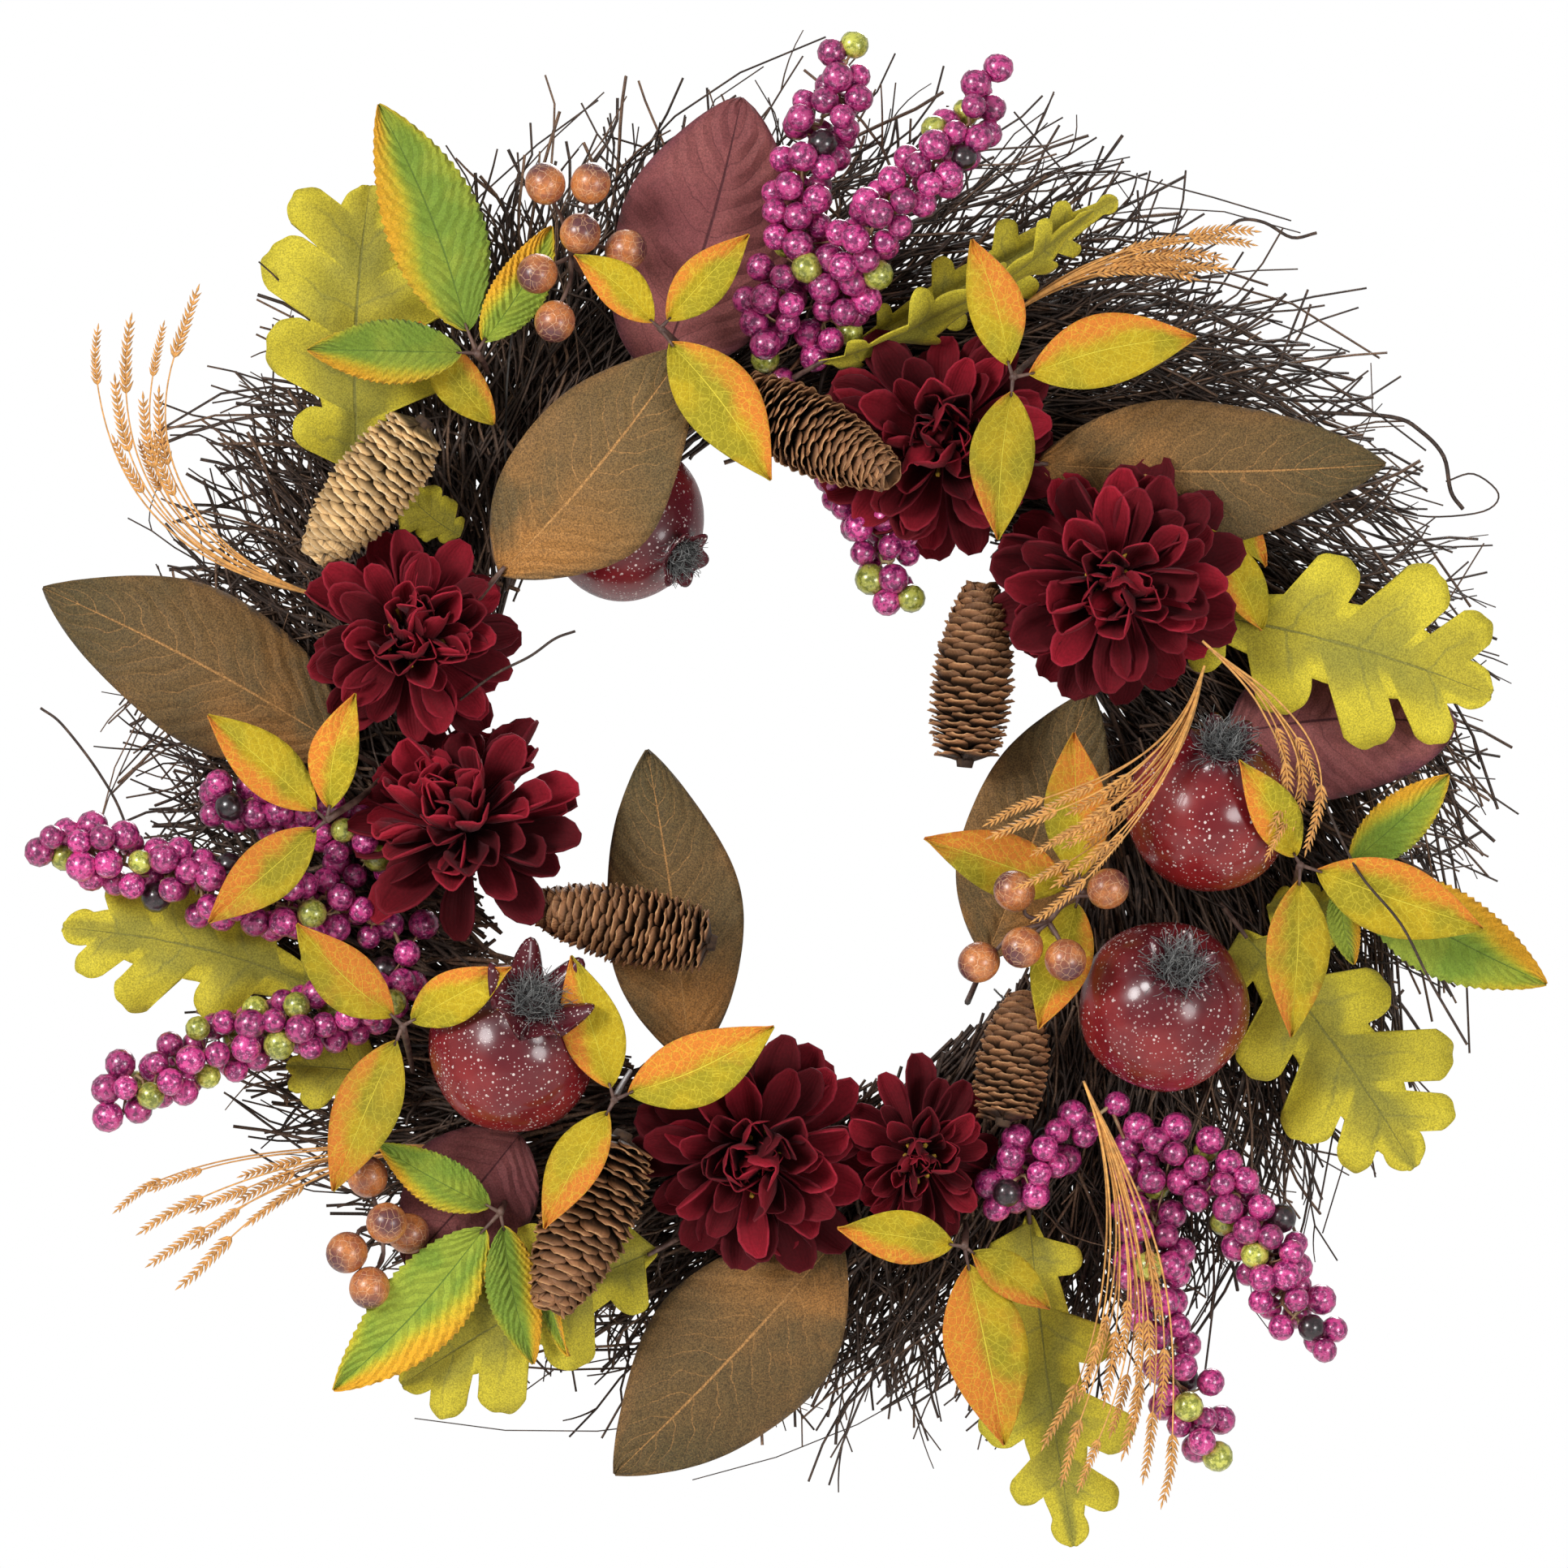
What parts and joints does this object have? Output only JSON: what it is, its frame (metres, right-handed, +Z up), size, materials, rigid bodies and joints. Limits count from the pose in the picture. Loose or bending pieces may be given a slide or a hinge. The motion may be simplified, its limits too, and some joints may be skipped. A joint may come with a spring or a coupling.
{
  "type": "harvest door wreath",
  "caption": "Round twig wreath on a wire frame, wired with fabric leaves, chrysanthemums, artificial fruit, cones, berry sprays and wheat; a hinged wire loop hangs it on a door.",
  "frame": {"origin": "crown of the hanging loop, on the centre line of its wire, above the middle of the wreath", "axes": "+Z up, +X to the right as seen from the front, +Y backwards to the door, so the wreath faces -Y"},
  "size_m": [0.6046, 0.1216, 0.6042],
  "materials": {
    "frame_wire": "dull dark green enamel",
    "binding_wire": "dull dark enamel",
    "hanger_wire": "bare wire",
    "twig": "dry dark brown bark",
    "brown_leaf": "matt printed fabric, brown to olive with tan veins",
    "burgundy_leaf": "matt printed fabric, plum red",
    "oak_leaf": "matt printed fabric, olive green",
    "yellow_leaf": "matt printed fabric, yellow-green with orange edges",
    "green_leaf": "matt printed fabric, green with yellow-orange edges",
    "mum_petal": "matt velvety fabric, wine red",
    "pomegranate": "glossy dark red with pale speckles",
    "cone": "matt natural scales",
    "pink_berry": "pearly magenta lacquer",
    "brown_berry": "crackled orange-brown",
    "wheat": "satin straw colour"
  },
  "bodies": {
    "wreath": {"wire_frame": "frame_wire", "binding_wire": "binding_wire", "twig_bunch_1": "twig", "twig_bunch_2": "twig", "twig_bunch_3": "twig", "twig_bunch_4": "twig", "brown_leaf_1": "brown_leaf", "brown_leaf_2": "brown_leaf", "brown_leaf_3": "brown_leaf", "brown_leaf_4": "brown_leaf", "brown_leaf_5": "brown_leaf", "brown_leaf_6": "brown_leaf", "burgundy_leaf_1": "burgundy_leaf", "burgundy_leaf_2": "burgundy_leaf", "oak_leaf_1": "oak_leaf", "oak_leaf_2": "oak_leaf", "oak_leaf_3": "oak_leaf", "oak_leaf_4": "oak_leaf", "oak_leaf_5": "oak_leaf", "oak_leaf_6": "oak_leaf", "oak_leaf_7": "oak_leaf", "yellow_sprig_1": "yellow_leaf", "yellow_sprig_2": "yellow_leaf", "yellow_sprig_3": "yellow_leaf", "yellow_sprig_4": "yellow_leaf", "yellow_sprig_5": "yellow_leaf", "yellow_sprig_6": "yellow_leaf", "yellow_sprig_7": "yellow_leaf", "yellow_sprig_8": "yellow_leaf", "green_sprig_1": "green_leaf", "green_sprig_2": "green_leaf", "green_sprig_3": "green_leaf", "mum_1": "mum_petal", "mum_2": "mum_petal", "mum_3": "mum_petal", "mum_4": "mum_petal", "mum_5": "mum_petal", "mum_6": "mum_petal", "pomegranate_1": "pomegranate", "pomegranate_2": "pomegranate", "pomegranate_3": "pomegranate", "pomegranate_4": "pomegranate", "cone_1": "cone", "cone_2": "cone", "cone_3": "cone", "cone_4": "cone", "cone_5": "cone", "cone_6": "cone", "berry_pick_top": "pink_berry", "berry_pick_left": "pink_berry", "berry_pick_right": "pink_berry", "brown_berries_1": "brown_berry", "brown_berries_2": "brown_berry", "brown_berries_3": "brown_berry", "wheat_spray_1": "wheat", "wheat_spray_2": "wheat", "wheat_spray_3": "wheat", "wheat_spray_4": "wheat", "wheat_spray_5": "wheat"},
    "hanger": {"hanger_loop": "hanger_wire"}
  },
  "joints": [
    {"name": "hanger_hinge", "type": "hinge", "parent": "wreath", "child": "hanger", "pos_m": [0, 0, -0.03], "axis": [-1, 0, 0], "range_deg": [0, 170]}
  ]
}
